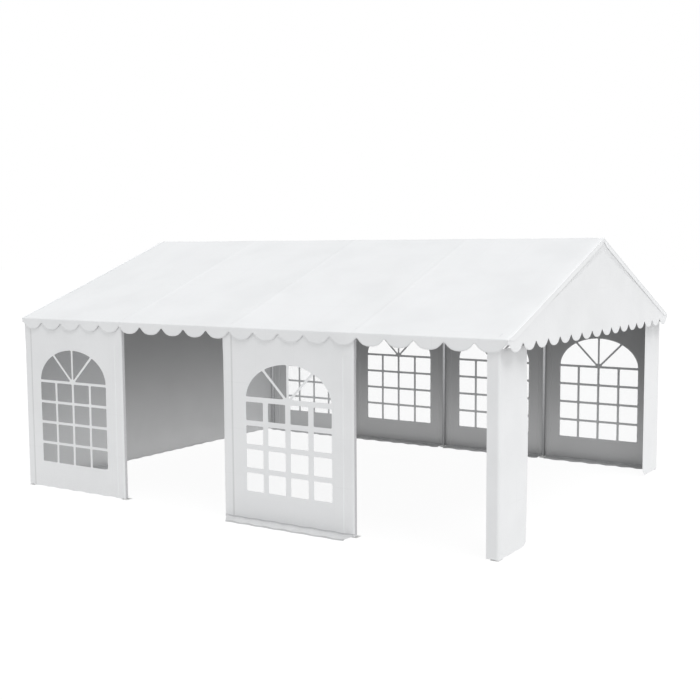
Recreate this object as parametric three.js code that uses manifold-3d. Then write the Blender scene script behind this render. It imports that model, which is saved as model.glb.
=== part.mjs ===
// A white party marquee, 8 m long and 6 m wide, in four bays of 2 m. A frame of steel tubes carries a gable
// canopy with a scalloped valance, and wall panels with arched windows hang from its eaves.
// Millimetres, +Z up. The origin is on the ground in the middle of the tent, X runs along the ridge, and the
// long front with the doorways faces -Y. LENGTH and WIDTH are taken between the centre lines of the posts.

import * as THREE from 'three';
import { mergeVertices } from 'three/addons/utils/BufferGeometryUtils.js';
import Module from 'manifold-3d';

const wasm = await Module();
wasm.setup();

// ---- Driving dimensions ----

const BAY = 2000;
const BAYS = 4;
const LENGTH = BAY * BAYS;
const WIDTH = 6000;
const EAVE_HEIGHT = 2600;
const RIDGE_HEIGHT = 3790;

const SHEET = 4; // thickness that stands in for coated fabric half a millimetre thick
const FILM = 2;
const GAP = 0.5; // between sheets that meet
const ROOF_PAST_GABLE = 100; // from the end posts' centre lines to the gable sheets
const ROOF_PAST_EAVE = 50; // from the posts' centre lines to the eave folds
const WALL_PAST_POST = 35; // from the posts' centre lines to the outside of the walls

const TUBE_RADIUS = 25;
const SOCKET_RADIUS = 29;
const SOCKET_LENGTH = 110;
const TUBE_SIDES = 20;
const JOINT_GAP = 0.3; // between a tube's end and its socket
const RAFTER_DROP = 35; // from the outside of the roof, square to the slope, to a rafter's centre line
const PURLIN_RADIUS = 19;

const PLATE_SIDE = 110;
const PLATE_THICKNESS = 5;
const PEG_HOLE_RADIUS = 7;
const PEG_HOLE_INSET = 18;

const WALL_BOTTOM = 5;
const WALL_TOP = EAVE_HEIGHT - 5;
const DOOR_LAP = 98; // how far the third bay's panel runs past its left post, into the doorway

const WINDOW_WIDTH = 1386;
const WINDOW_BOTTOM = 411;
const WINDOW_TRANSOM = 1647;
const WINDOW_TOP = 2135;
const WINDOW_CURVE_STEPS = 14;

const VALANCE_DROP = 165;
const SCALLOP_DEPTH = 95;
const SCALLOPS_ALONG_EAVE = 20;
const SCALLOPS_ALONG_GABLE = 16;
const SCALLOP_CURVE_STEPS = 8;

const CORNER_STRIP_FRONT = 165;
const CORNER_STRIP_GABLE = 765;

// ---- Places worked out from them ----

const halfLength = LENGTH / 2;
const halfWidth = WIDTH / 2;
const wallHalfLength = halfLength + WALL_PAST_POST;
const wallHalfWidth = halfWidth + WALL_PAST_POST;
const canopyHalfLength = halfLength + ROOF_PAST_GABLE;
const canopyHalfWidth = halfWidth + ROOF_PAST_EAVE;
const slope = Math.atan2(RIDGE_HEIGHT - EAVE_HEIGHT, canopyHalfWidth);
const slopeLength = canopyHalfWidth / Math.cos(slope);
const ridgeZ = RIDGE_HEIGHT - RAFTER_DROP / Math.cos(slope);
const railZ = ridgeZ - halfWidth * Math.tan(slope);
const rafterSpan = halfWidth / Math.cos(slope);
const postTop = railZ - SOCKET_LENGTH - JOINT_GAP;
const frameX = [];
for (let i = 0; i <= BAYS; i++) {
  frameX.push(-halfLength + i * BAY);
}

// ---- Materials ----

const steel = new THREE.MeshStandardMaterial({ color: 0xc9ccce, roughness: 0.42, metalness: 0.85 });
const roofCloth = new THREE.MeshStandardMaterial({ color: 0xf1f2f2, roughness: 0.5, metalness: 0 });
const wallCloth = new THREE.MeshStandardMaterial({ color: 0xeceded, roughness: 0.55, metalness: 0 });
const clearFilm = new THREE.MeshStandardMaterial({
  color: 0xe4ebee,
  roughness: 0.08,
  metalness: 0,
  transparent: true,
  opacity: 0.3,
});

// ---- Solids ----

function toManifold(geometry) {
  const bare = geometry.clone();
  bare.deleteAttribute('normal');
  bare.deleteAttribute('uv');
  const merged = mergeVertices(bare, 1e-4);
  return new wasm.Manifold(new wasm.Mesh({
    numProp: 3,
    vertProperties: Float32Array.from(merged.attributes.position.array),
    triVerts: Uint32Array.from(merged.index.array),
  }));
}

function fromManifold(solid) {
  const mesh = solid.getMesh();
  const geometry = new THREE.BufferGeometry();
  geometry.setAttribute('position', new THREE.BufferAttribute(mesh.vertProperties, 3));
  geometry.setIndex(new THREE.BufferAttribute(mesh.triVerts, 1));
  geometry.computeVertexNormals();
  return geometry;
}

function fuse(geometries) {
  let solid = toManifold(geometries[0]);
  for (const geometry of geometries.slice(1)) {
    solid = solid.add(toManifold(geometry));
  }
  return fromManifold(solid);
}

// A round bar from one point to another. Its first flat side faces the ground where the bar is level.
function tubeBetween(from, to, radius) {
  const along = new THREE.Vector3().subVectors(to, from);
  const geometry = new THREE.CylinderGeometry(radius, radius, along.length(), TUBE_SIDES);
  const turn = new THREE.Quaternion().setFromUnitVectors(
    new THREE.Vector3(0, 1, 0),
    along.clone().normalize(),
  );
  geometry.applyQuaternion(turn);
  geometry.translate((from.x + to.x) / 2, (from.y + to.y) / 2, (from.z + to.z) / 2);
  return geometry;
}

// A flat sheet with its outline in X and Z. Its outer side lies in the plane y = face, and it goes in along
// inward, which is 1 or -1.
function sheetAlongX(outline, face, inward, thickness, steps) {
  const geometry = new THREE.ExtrudeGeometry(outline, {
    depth: thickness,
    bevelEnabled: false,
    curveSegments: steps,
  });
  geometry.rotateX(Math.PI / 2); // the outline's Y becomes Z, and the depth goes to -Y
  geometry.translate(0, inward > 0 ? face + thickness : face, 0);
  return geometry;
}

// The same with the outline in Y and Z and the outer side in the plane x = face.
function sheetAlongY(outline, face, inward, thickness, steps) {
  const geometry = new THREE.ExtrudeGeometry(outline, {
    depth: thickness,
    bevelEnabled: false,
    curveSegments: steps,
  });
  geometry.rotateX(Math.PI / 2);
  geometry.rotateZ(Math.PI / 2); // the outline's X becomes Y, and the depth goes to +X
  geometry.translate(inward > 0 ? face : face - thickness, 0, 0);
  return geometry;
}

// ---- Outlines ----

function rectangle(low, high, bottom, top) {
  const shape = new THREE.Shape();
  shape.moveTo(low, bottom);
  shape.lineTo(high, bottom);
  shape.lineTo(high, top);
  shape.lineTo(low, top);
  shape.closePath();
  return shape;
}

// A window's outline: straight sides up to the transom and half an ellipse above it.
function windowOutline(path, centre, shrink) {
  const half = WINDOW_WIDTH / 2 - shrink;
  const rise = WINDOW_TOP - WINDOW_TRANSOM - shrink;
  path.moveTo(centre - half, WINDOW_BOTTOM + shrink);
  path.lineTo(centre + half, WINDOW_BOTTOM + shrink);
  path.lineTo(centre + half, WINDOW_TRANSOM);
  path.absellipse(centre, WINDOW_TRANSOM, half, rise, 0, Math.PI, false, 0);
  path.closePath();
  return path;
}

// Adds the scalloped lower edge from low to high: round lobes that hang down between sharp notches.
function addScallops(shape, low, high, count) {
  const pitch = (high - low) / count;
  const notch = EAVE_HEIGHT - VALANCE_DROP + SCALLOP_DEPTH;
  shape.moveTo(low, notch);
  for (let i = 0; i < count; i++) {
    const centre = low + (i + 0.5) * pitch;
    shape.absellipse(centre, notch, pitch / 2, SCALLOP_DEPTH, Math.PI, 2 * Math.PI, false, 0);
  }
}

// ---- Frame ----

const group = new THREE.Group();

function addPiece(name, geometry, material) {
  const mesh = new THREE.Mesh(geometry, material);
  mesh.name = name;
  group.add(mesh);
  return mesh;
}

// The foot plate is set back from the walls, so that the panels hang clear of it.
function footPlate(x, side) {
  const reach = PLATE_SIDE / 2;
  const room = wallHalfLength - SHEET - GAP - reach;
  const plateX = THREE.MathUtils.clamp(x, -room, room);
  const plateY = side * (wallHalfWidth - SHEET - GAP - reach);
  const shape = rectangle(plateX - reach, plateX + reach, plateY - reach, plateY + reach);
  for (const along of [-1, 1]) {
    const hole = new THREE.Path();
    const holeX = plateX + along * (reach - PEG_HOLE_INSET);
    const holeY = plateY - side * (reach - PEG_HOLE_INSET);
    hole.absarc(holeX, holeY, PEG_HOLE_RADIUS, 0, 2 * Math.PI, false);
    shape.holes.push(hole);
  }
  return new THREE.ExtrudeGeometry(shape, { depth: PLATE_THICKNESS, bevelEnabled: false, curveSegments: 5 });
}

function post(x, side) {
  const foot = new THREE.Vector3(x, side * halfWidth, PLATE_THICKNESS / 2);
  const top = new THREE.Vector3(x, side * halfWidth, postTop);
  return fuse([tubeBetween(foot, top, TUBE_RADIUS), footPlate(x, side)]);
}

// The point on a rafter's centre line at a distance down the slope from the ridge.
function onRafter(x, side, distance) {
  return new THREE.Vector3(
    x,
    side * distance * Math.cos(slope),
    ridgeZ - distance * Math.sin(slope),
  );
}

function rafter(x, side) {
  const top = onRafter(x, side, SOCKET_LENGTH + JOINT_GAP);
  const foot = onRafter(x, side, rafterSpan - SOCKET_LENGTH - JOINT_GAP);
  return tubeBetween(top, foot, TUBE_RADIUS);
}

// The rounded middle of a joint, where its sockets meet.
function jointBall(centre) {
  const ball = new THREE.SphereGeometry(SOCKET_RADIUS, TUBE_SIDES, TUBE_SIDES / 2);
  return ball.translate(centre.x, centre.y, centre.z);
}

function railTube(y, z, radius) {
  const reach = frameX[BAYS];
  return tubeBetween(new THREE.Vector3(-reach, y, z), new THREE.Vector3(reach, y, z), radius);
}

// An eave rail has a socket at each frame for the post below it and one for the rafter above it.
function eaveRail(side) {
  const pieces = [railTube(side * halfWidth, railZ, TUBE_RADIUS)];
  for (const x of frameX) {
    const joint = onRafter(x, side, rafterSpan);
    const below = new THREE.Vector3(x, side * halfWidth, railZ - SOCKET_LENGTH);
    pieces.push(tubeBetween(joint, below, SOCKET_RADIUS));
    pieces.push(tubeBetween(joint, onRafter(x, side, rafterSpan - SOCKET_LENGTH), SOCKET_RADIUS));
    pieces.push(jointBall(joint));
  }
  return fuse(pieces);
}

// The ridge rail has a socket at each frame for the rafter on either slope.
function ridgeRail() {
  const pieces = [railTube(0, ridgeZ, TUBE_RADIUS)];
  for (const x of frameX) {
    const joint = new THREE.Vector3(x, 0, ridgeZ);
    for (const side of [-1, 1]) {
      pieces.push(tubeBetween(joint, onRafter(x, side, SOCKET_LENGTH), SOCKET_RADIUS));
    }
    pieces.push(jointBall(joint));
  }
  return fuse(pieces);
}

// A purlin lies under the middle of the rafters of one slope.
function purlin(side) {
  const middle = onRafter(0, side, rafterSpan / 2);
  const below = TUBE_RADIUS + PURLIN_RADIUS + JOINT_GAP;
  const y = middle.y - side * below * Math.sin(slope);
  const z = middle.z - below * Math.cos(slope);
  return railTube(y, z, PURLIN_RADIUS);
}

const sides = [['front', -1], ['back', 1]];

for (const [name, side] of sides) {
  frameX.forEach((x, i) => addPiece(`post_${name}_${i + 1}`, post(x, side), steel));
  frameX.forEach((x, i) => addPiece(`rafter_${name}_${i + 1}`, rafter(x, side), steel));
  addPiece(`${name}_eave_rail`, eaveRail(side), steel);
  addPiece(`${name}_purlin`, purlin(side), steel);
}
addPiece('ridge_rail', ridgeRail(), steel);

// ---- Canopy ----

// One slope lies between the gable sheets and stops short of the ridge, where the other slope meets it.
function roofSlope(side) {
  const reach = 2 * (canopyHalfLength - SHEET - GAP);
  const ridgeCut = SHEET * Math.tan(slope) + GAP;
  const depth = slopeLength - ridgeCut;
  const geometry = new THREE.BoxGeometry(reach, depth, SHEET);
  geometry.translate(0, side * (ridgeCut + depth / 2), -SHEET / 2);
  geometry.rotateX(-side * slope);
  geometry.translate(0, 0, RIDGE_HEIGHT);
  return geometry;
}

function valance() {
  const shape = new THREE.Shape();
  addScallops(shape, -canopyHalfLength, canopyHalfLength, SCALLOPS_ALONG_EAVE);
  shape.lineTo(canopyHalfLength, WALL_TOP);
  shape.lineTo(-canopyHalfLength, WALL_TOP);
  shape.closePath();
  return shape;
}

function gable() {
  const shape = new THREE.Shape();
  const reach = canopyHalfWidth - SHEET - GAP;
  addScallops(shape, -reach, reach, SCALLOPS_ALONG_GABLE);
  shape.lineTo(reach, RIDGE_HEIGHT - reach * Math.tan(slope));
  shape.lineTo(0, RIDGE_HEIGHT);
  shape.lineTo(-reach, RIDGE_HEIGHT - reach * Math.tan(slope));
  shape.closePath();
  return shape;
}

for (const [name, side] of sides) {
  const strip = sheetAlongX(valance(), side * canopyHalfWidth, -side, SHEET, SCALLOP_CURVE_STEPS);
  addPiece(`roof_${name}`, roofSlope(side), roofCloth);
  addPiece(`valance_${name}`, strip, roofCloth);
}
for (const [name, end] of [['left', -1], ['right', 1]]) {
  const sheet = sheetAlongY(gable(), end * canopyHalfLength, -end, SHEET, SCALLOP_CURVE_STEPS);
  addPiece(`gable_${name}`, sheet, roofCloth);
}

// ---- Walls ----

// A window panel from low to high, with its window in the middle of the bay.
function windowPanel(low, high, centre, side) {
  const outline = rectangle(low, high, WALL_BOTTOM, WALL_TOP);
  outline.holes.push(windowOutline(new THREE.Path(), centre, 0));
  return sheetAlongX(outline, side * wallHalfWidth, -side, SHEET, WINDOW_CURVE_STEPS);
}

function windowFilm(centre, side) {
  const outline = windowOutline(new THREE.Shape(), centre, GAP);
  const face = side * (wallHalfWidth - (SHEET - FILM) / 2);
  return sheetAlongX(outline, face, -side, FILM, WINDOW_CURVE_STEPS);
}

const bayCentre = (bay) => -halfLength + (bay - 0.5) * BAY;

const frontPanels = [
  { bay: 1, low: -wallHalfLength, high: bayCentre(1) + BAY / 2 + WALL_PAST_POST },
  { bay: 3, low: bayCentre(3) - BAY / 2 - DOOR_LAP, high: bayCentre(3) + BAY / 2 + WALL_PAST_POST },
];
for (const { bay, low, high } of frontPanels) {
  addPiece(`wall_front_${bay}`, windowPanel(low, high, bayCentre(bay), -1), wallCloth);
  addPiece(`window_front_${bay}`, windowFilm(bayCentre(bay), -1), clearFilm);
}

for (let bay = 1; bay <= BAYS; bay++) {
  const low = bay === 1 ? -wallHalfLength : bayCentre(bay) - BAY / 2 + GAP / 2;
  const high = bay === BAYS ? wallHalfLength : bayCentre(bay) + BAY / 2 - GAP / 2;
  addPiece(`wall_back_${bay}`, windowPanel(low, high, bayCentre(bay), 1), wallCloth);
  addPiece(`window_back_${bay}`, windowFilm(bayCentre(bay), 1), clearFilm);
}

// The end wall and the two strips beside the open end hang between the front and back sheets.
const endReach = wallHalfWidth - SHEET - GAP;

const endWall = rectangle(-endReach, endReach, WALL_BOTTOM, WALL_TOP);
addPiece('end_wall_left', sheetAlongY(endWall, -wallHalfLength, 1, SHEET, 1), wallCloth);

const frontStrip = rectangle(wallHalfLength - CORNER_STRIP_FRONT, wallHalfLength, WALL_BOTTOM, WALL_TOP);
addPiece('corner_wall_front', sheetAlongX(frontStrip, -wallHalfWidth, 1, SHEET, 1), wallCloth);

const nearStrip = rectangle(-endReach, CORNER_STRIP_GABLE - wallHalfWidth, WALL_BOTTOM, WALL_TOP);
addPiece('corner_wall_near', sheetAlongY(nearStrip, wallHalfLength, -1, SHEET, 1), wallCloth);

const farStrip = rectangle(wallHalfWidth - CORNER_STRIP_GABLE, endReach, WALL_BOTTOM, WALL_TOP);
addPiece('corner_wall_far', sheetAlongY(farStrip, wallHalfLength, -1, SHEET, 1), wallCloth);

export default group;
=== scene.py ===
# %% [markdown]
# # A frame marquee, eight metres by six
# The real thing is a party tent. Steel tubes push into corner sockets and make five upright frames, and
# rails join them. One big sheet of coated cloth goes over the top, with its gables and its scalloped valance
# welded on. Wall panels hang from the eave rails, and each one can be taken off.
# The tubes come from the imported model. Everything made of cloth or clear film is made here.

import math

import bpy
import numpy as np
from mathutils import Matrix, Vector
from mathutils.geometry import delaunay_2d_cdt


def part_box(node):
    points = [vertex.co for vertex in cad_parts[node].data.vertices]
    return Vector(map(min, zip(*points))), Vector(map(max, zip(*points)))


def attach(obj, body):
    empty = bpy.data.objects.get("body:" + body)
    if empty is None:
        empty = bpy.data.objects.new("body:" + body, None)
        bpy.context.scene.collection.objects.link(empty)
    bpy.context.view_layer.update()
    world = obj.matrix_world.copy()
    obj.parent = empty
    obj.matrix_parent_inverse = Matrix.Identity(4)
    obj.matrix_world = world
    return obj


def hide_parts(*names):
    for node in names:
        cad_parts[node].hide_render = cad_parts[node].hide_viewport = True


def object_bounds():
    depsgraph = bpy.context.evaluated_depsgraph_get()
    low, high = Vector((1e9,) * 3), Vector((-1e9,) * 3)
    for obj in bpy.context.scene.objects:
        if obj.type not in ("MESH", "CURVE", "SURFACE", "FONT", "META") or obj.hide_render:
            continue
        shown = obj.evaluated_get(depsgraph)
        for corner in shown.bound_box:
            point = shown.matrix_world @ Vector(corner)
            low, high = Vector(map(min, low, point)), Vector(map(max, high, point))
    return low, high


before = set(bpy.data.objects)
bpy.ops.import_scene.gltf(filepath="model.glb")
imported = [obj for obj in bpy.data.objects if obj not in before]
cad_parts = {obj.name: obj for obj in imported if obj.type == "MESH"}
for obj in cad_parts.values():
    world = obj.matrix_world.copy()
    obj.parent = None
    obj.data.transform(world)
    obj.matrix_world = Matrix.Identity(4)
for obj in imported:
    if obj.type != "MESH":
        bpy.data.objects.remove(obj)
cad_box = [list(corner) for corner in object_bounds()]
print("the packed model reaches from", cad_box[0], "to", cad_box[1])

# %% [markdown]
# ## Camera
# The tent is seen from a little above the eaves, from the corner where the gable end is open.
# A moved lens (shift) keeps that view and sets where the tent sits in the frame.

# %% Camera
def new_object(name, data):
    """An object in the scene with that data."""
    piece = bpy.data.objects.new(name, data)
    bpy.context.scene.collection.objects.link(piece)
    return piece


camera = new_object("camera", bpy.data.cameras.new("camera"))
camera.data.lens = 52.8
camera.data.shift_x = -0.0945
camera.location = (9.075, -13.572, 3.544)
camera.rotation_euler = (math.radians(90 - 5.262), 0, math.radians(30.265))
bpy.context.scene.camera = camera
print("camera", tuple(camera.location))

# %% [markdown]
# ## Floor and light
# White cloth needs a gentle light, or every fold is lost. An even pale sky fills the shadows, and one broad
# lamp far to the right gives the roof and the open end a little more than the long side.
# The sky that is seen is white, and the sky that lights is dimmer, so that the cloth keeps its tone. The
# floor is a light table: it glows a little, which lifts the shade inside the tent from below.

# %% Floor and light
def add_node(tree, kind, **settings):
    """A node of that kind, with its properties set."""
    node = tree.nodes.new(kind)
    for name, value in settings.items():
        setattr(node, name, value)
    return node


def plug(tree, slot, value):
    """Puts a link or a plain value into an input."""
    if isinstance(value, bpy.types.NodeSocket):
        tree.links.new(value, slot)
    else:
        slot.default_value = value


def joined(tree, node, **sources):
    """Fills a node's inputs, by name with _ for a space, and returns its first output if it has one."""
    for name, source in sources.items():
        plug(tree, node.inputs[name.replace("_", " ")], source)
    return node.outputs[0] if len(node.outputs) else None


def new_finish(name):
    """An empty node material: the material, its tree and its shader."""
    finish = bpy.data.materials.new(name)
    finish.use_nodes = True
    return finish, finish.node_tree, finish.node_tree.nodes["Principled BSDF"]


SKY_LIGHT = 0.5
LAMP_LIGHT = 2.08
FLOOR_GLOW = 0.94

world = bpy.data.worlds.new("pale_sky")
world.use_nodes = True
bpy.context.scene.world = world
sky = world.node_tree
seen = joined(sky, add_node(sky, "ShaderNodeBackground"), Color=(1, 1, 1, 1))
lights = joined(sky, sky.nodes["Background"], Color=(0.97, 0.985, 1.0, 1), Strength=SKY_LIGHT)
which = add_node(sky, "ShaderNodeMixShader")
for slot, source in enumerate((add_node(sky, "ShaderNodeLightPath").outputs["Is Camera Ray"], lights, seen)):
    plug(sky, which.inputs[slot], source)
joined(sky, sky.nodes["World Output"], Surface=which.outputs[0])

lamp = new_object("broad_lamp", bpy.data.lights.new("broad_lamp", "SUN"))
lamp.data.energy = LAMP_LIGHT
lamp.data.angle = math.radians(40)
lamp.rotation_euler = Vector((-0.38, 0.10, -1.0)).to_track_quat("-Z", "Y").to_euler()
bpy.context.scene.view_settings.view_transform = "Standard"

floor_mesh = bpy.data.meshes.new("floor")
FAR = 200
floor_mesh.from_pydata([(-FAR, -FAR, 0), (FAR, -FAR, 0), (FAR, FAR, 0), (-FAR, FAR, 0)], [], [(0, 1, 2, 3)])
floor = new_object("floor", floor_mesh)
floor_finish, floor_tree, floor_shader = new_finish("pale_floor")
joined(floor_tree, floor_shader, Base_Color=(0.06, 0.06, 0.06, 1), Roughness=0.9,
       Emission_Color=(1, 1, 1, 1), Emission_Strength=FLOOR_GLOW)
floor_mesh.materials.append(floor_finish)
print("floor and one lamp,", LAMP_LIGHT, "strong")

# %% [markdown]
# ## Coated cloth
# Marquee cloth is a woven scrim of flat polyester or polyethylene tapes with a smooth coat on both faces. Up
# close the weave shows through the coat as a fine grid. From further off there are soft creases where the
# sheet was folded for its bag, and a little dust low down. All of these are bump, roughness and tone in one
# material. The pattern reads the cloth's own flat map, in metres, so that it follows each fold.
# The inner face is a greyer copy, darker still near the eaves: painted shade of the tent's inside. The end
# wall's inner face is a lighter copy: painted light from the open end. The flap finish lies between them: it
# is painted light on a flap turned inside and painted shadow on a seam.

# %% Coated cloth
def math_node(tree, operation, *values):
    """A math node whose inputs are sockets or numbers."""
    node = add_node(tree, "ShaderNodeMath", operation=operation)
    for slot, value in zip(node.inputs, values):
        plug(tree, slot, value)
    return node.outputs[0]


def spread(tree, value, low, high, to_low, to_high):
    """Value carried from one range to another, smoothly, and kept inside it."""
    node = add_node(tree, "ShaderNodeMapRange", interpolation_type="SMOOTHSTEP")
    return joined(tree, node, Value=value, From_Min=low, From_Max=high, To_Min=to_low, To_Max=to_high)


def cloudy(tree, where, scale, detail=2.0):
    """Soft clouds of that many to the metre."""
    return joined(tree, add_node(tree, "ShaderNodeTexNoise"), Vector=where, Scale=scale, Detail=detail)


def bumped(tree, height, distance, **under):
    """A bump of that height in metres, on top of another one given as Normal."""
    return joined(tree, add_node(tree, "ShaderNodeBump"), Distance=distance, Height=height, **under)


def two_tones(tree, share, first, second):
    """The colour between two tones, which are sockets or red, green and blue."""
    node = add_node(tree, "ShaderNodeMix", data_type="RGBA")
    joined(tree, node, Factor=share)
    for slot, tone in ((6, first), (7, second)):
        plug(tree, node.inputs[slot], (*tone, 1) if isinstance(tone, tuple) else tone)
    return node.outputs[2]


def place_and_height(tree):
    """Where a point is, and how high."""
    place = add_node(tree, "ShaderNodeTexCoord").outputs["Object"]
    split = add_node(tree, "ShaderNodeSeparateXYZ")
    joined(tree, split, Vector=place)
    return place, split.outputs[2]


TAPE_PITCH = 0.0026  # one tape of the scrim
FOLD_PITCH = 0.62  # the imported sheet's folds


def coated_cloth(name, clean, dusty, painted_shade_high_up=None):
    """White coated scrim, with its weave, its packing folds, some dust and perhaps painted shade high up."""
    finish, tree, shader = new_finish(name)
    flat = add_node(tree, "ShaderNodeUVMap", uv_map="cloth").outputs["UV"]
    across = add_node(tree, "ShaderNodeSeparateXYZ")
    joined(tree, across, Vector=flat)
    tapes, folds = [], []
    for way in across.outputs[:2]:
        tapes.append(math_node(tree, "SINE", math_node(tree, "MULTIPLY", way, math.pi / TAPE_PITCH)))
        folds.append(math_node(tree, "PINGPONG", way, FOLD_PITCH / 2))
    weave = math_node(tree, "MULTIPLY", *tapes)
    creases = spread(tree, math_node(tree, "MINIMUM", *folds), 0.0, 0.012, 1.0, 0.0)

    fine = cloudy(tree, flat, 26.0, 4.0)
    normal = bumped(tree, cloudy(tree, flat, 2.3, 3.0), 0.006)
    for height, distance in ((creases, 0.0005), (fine, 0.0004), (weave, 0.00012)):
        normal = bumped(tree, height, distance, Normal=normal)

    place, height = place_and_height(tree)
    low_down = spread(tree, height, 0.0, 0.35, 0.35, 0.0)
    patches = spread(tree, cloudy(tree, place, 1.4, 4.0), 0.35, 0.75, 0.0, 0.35)
    dust = math_node(tree, "MULTIPLY", low_down, spread(tree, fine, 0.3, 0.7, 0.3, 1.0))
    for more in (patches, math_node(tree, "MULTIPLY", creases, 0.25)):
        dust = math_node(tree, "MAXIMUM", dust, more)
    tone = two_tones(tree, dust, clean, dusty)
    # a darker tone towards the eaves: painted shade of the tent's inside
    if painted_shade_high_up is not None:
        tone = two_tones(tree, spread(tree, height, 0.1, 2.4, 0.0, 1.0), tone, painted_shade_high_up)
    joined(tree, shader, Base_Color=tone, Roughness=spread(tree, fine, 0.3, 0.7, 0.42, 0.58), Normal=normal,
           Sheen_Weight=0.15, Sheen_Roughness=0.5)
    return finish


cloth_outside = coated_cloth("white_coated_cloth", (0.84, 0.845, 0.85), (0.74, 0.745, 0.75))
# Inner faces are darker copies of the cloth, painted shade; the end wall's is lighter, painted light from the
# open end.
cloth_inside = coated_cloth(
    "inner_face_of_cloth", (0.51, 0.512, 0.515), (0.45, 0.452, 0.455), painted_shade_high_up=(0.23, 0.232, 0.235))
end_inside = coated_cloth(
    "inner_face_of_end_wall", (0.60, 0.602, 0.605), (0.54, 0.542, 0.545), painted_shade_high_up=(0.27, 0.272, 0.275))
# painted light on a flap turned inside, painted shadow on a seam, and a darker tone on an outside flap
flap_and_painted_light_cloth = coated_cloth("flap_cloth_with_painted_light", (0.72, 0.722, 0.725), (0.62, 0.622, 0.625))
print("cloth finishes", cloth_outside.name, cloth_inside.name, end_inside.name, flap_and_painted_light_cloth.name)

# %% [markdown]
# ## Clear film
# The windows are soft clear film behind the cut cloth. It is slightly milky and never quite flat. Its
# see-through share is one plain number on the shader, because every viewer understands that.

# %% Clear film
def clear_film(name):
    """Soft clear film with gentle waves."""
    finish, tree, shader = new_finish(name)
    flat = add_node(tree, "ShaderNodeUVMap", uv_map="cloth").outputs["UV"]
    waves = cloudy(tree, flat, 3.5)
    joined(tree, shader, Normal=bumped(tree, waves, 0.004), Alpha=0.09, IOR=1.5,
           Roughness=spread(tree, cloudy(tree, flat, 9.0), 0.3, 0.7, 0.08, 0.2),
           Base_Color=two_tones(tree, waves, (0.86, 0.88, 0.9), (0.93, 0.94, 0.95)))
    return finish


film_finish = clear_film("clear_window_film")
print("film finish", film_finish.name)

# %% [markdown]
# ## Galvanised steel
# The tubes are zinc coated. Zinc freezes in small leaf-like grains, which show as patches of slightly
# different grey and gloss, and its dull film takes the mirror away. Voronoi cells give those grains. The
# lower part of each post is darker, and pale dust lies on the foot plates.

# %% Galvanised steel
def zinc_coated(name, light, dark, grain):
    """Zinc-coated steel with its frozen grains."""
    finish, tree, shader = new_finish(name)
    place, height = place_and_height(tree)
    cells = add_node(tree, "ShaderNodeTexVoronoi")
    joined(tree, cells, Vector=place, Scale=grain)
    tone = add_node(tree, "ShaderNodeSeparateColor")
    joined(tree, tone, Color=cells.outputs["Color"])
    darker_low_down = spread(tree, height, 0.0, 2.2, 0.75, 0.0)
    dust = spread(tree, height, 0.005, 0.05, 1.0, 0.0)
    colour = two_tones(tree, darker_low_down, two_tones(tree, tone.outputs[0], light, dark), (0.16, 0.162, 0.165))
    joined(tree, shader, Base_Color=two_tones(tree, dust, colour, (0.82, 0.82, 0.81)),
           Metallic=spread(tree, height, 0.005, 0.05, 0.0, 0.55),
           Roughness=spread(tree, tone.outputs[1], 0.0, 1.0, 0.38, 0.55),
           Normal=bumped(tree, cloudy(tree, place, 140.0, 3.0), 0.0003))
    return finish


tube_finish = zinc_coated("zinc_coated_tube", (0.80, 0.81, 0.82), (0.68, 0.69, 0.70), 90.0)
bolt_finish = zinc_coated("zinc_coated_bolt", (0.62, 0.63, 0.64), (0.45, 0.46, 0.47), 400.0)

tubes = [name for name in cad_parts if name.split("_")[0] in ("post", "rafter")]
tubes += [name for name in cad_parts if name.endswith(("_rail", "_purlin"))]
for name in tubes:
    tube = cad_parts[name]
    tube.data.materials.clear()
    tube.data.materials.append(tube_finish)
print(len(tubes), "tube nodes have their zinc")

# %% [markdown]
# ## Where the cloth goes
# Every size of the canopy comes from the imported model's own boxes, so that the cloth and the tubes agree.

# %% Where the cloth goes
def middle_of(name):
    """The middle of a node's box."""
    return [(low + high) / 2 for low, high in zip(*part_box(name))]


HALF_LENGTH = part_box("gable_right")[1][0]
HALF_WIDTH = -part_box("valance_front")[0][1]
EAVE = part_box("valance_front")[1][2]
RIDGE = cad_box[1][2]
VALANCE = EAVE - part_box("valance_front")[0][2]
POST_Y = -middle_of("front_eave_rail")[1]
SLOPE = math.atan2(RIDGE - EAVE, HALF_WIDTH)
FRAME_X = [middle_of(f"post_front_{i}")[0] for i in range(1, 6)]
print("half length", HALF_LENGTH, "half width", HALF_WIDTH, "eave", EAVE, "slope", math.degrees(SLOPE))
print("frames stand at", FRAME_X, "and posts at y", POST_Y)

# %% [markdown]
# ## The canopy's scallops
# The valance ends in a row of rounded lobes with narrow notches between them, twenty along each eave and
# sixteen along each gable, and there is a notch on each corner. One curve gives them all. It is wide and
# round at the bottom of a lobe and steep at the notch. The cloth is cut closer together near the notches.

# %% The canopy's scallops
LOBES_ON_EAVE = 20
LOBES_ON_GABLE = 16
NOTCH = 0.062  # from the fold down to a notch
LOBE_STEPS = (0.0, 0.05, 0.13, 0.24, 0.37, 0.5, 0.63, 0.76, 0.87, 0.95)
LOBE_WIDTH = 0.28
CORNER_GAP = 0.025  # the notch on a corner is this much wider on each side


def valance_drop(along, half, lobes):
    """How far the valance hangs at a place along a side from -half to half."""
    reach = half - CORNER_GAP
    wave = np.sin(np.pi * np.clip((along + reach) / (2 * reach), 0, 1) * lobes) ** 2
    return NOTCH + (VALANCE - NOTCH) * (1 + LOBE_WIDTH) * wave / (wave + LOBE_WIDTH)


def lobe_places(half, lobes):
    """The places along a side where the cloth has a row of points."""
    reach = half - CORNER_GAP
    inner = [-reach + 2 * reach / lobes * (i + step) for i in range(lobes) for step in LOBE_STEPS]
    return np.array([-half, *inner, reach, half])


print("one eave lobe is", 2 * HALF_LENGTH / LOBES_ON_EAVE, "m wide")

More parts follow.
